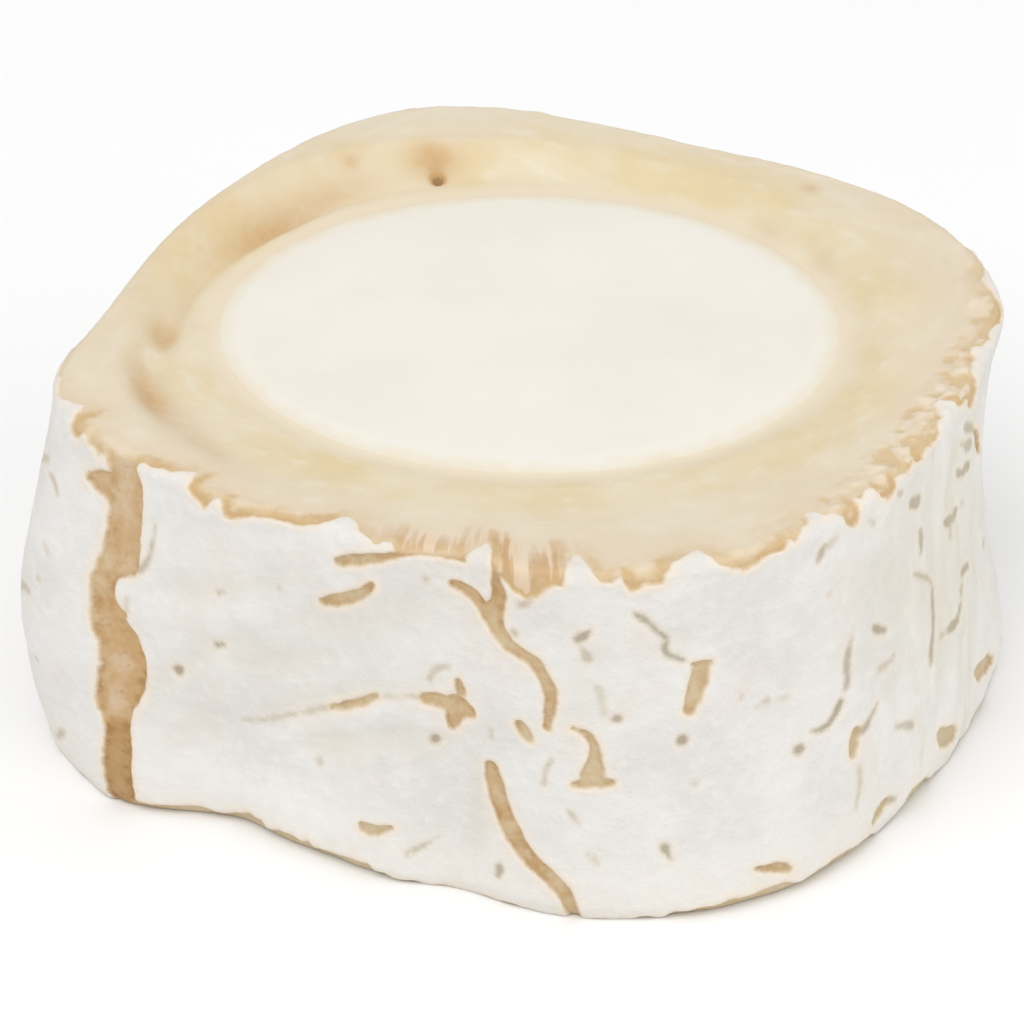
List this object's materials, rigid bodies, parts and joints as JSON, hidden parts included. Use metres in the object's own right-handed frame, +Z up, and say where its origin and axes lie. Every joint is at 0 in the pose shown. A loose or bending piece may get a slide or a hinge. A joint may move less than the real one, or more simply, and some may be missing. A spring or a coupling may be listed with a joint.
{
  "type": "goat cheese log slice",
  "caption": "Thick slice of a mould-ripened goat cheese log, with a white bloomy rind torn in places, a soft cream ring and a chalky core.",
  "frame": {"origin": "middle of the slice's outline, on the cut face it stands on", "axes": "+Z up through the slice along the log, +X along its widest way across"},
  "size_m": [0.091, 0.083, 0.0386],
  "materials": {
    "ripened_layer": "soft and moist, with a dry white bloomy rind outside",
    "chalk_core": "matt and chalky"
  },
  "bodies": {
    "root": {"ripened_layer": "ripened_layer", "chalk_core": "chalk_core"}
  },
  "joints": []
}
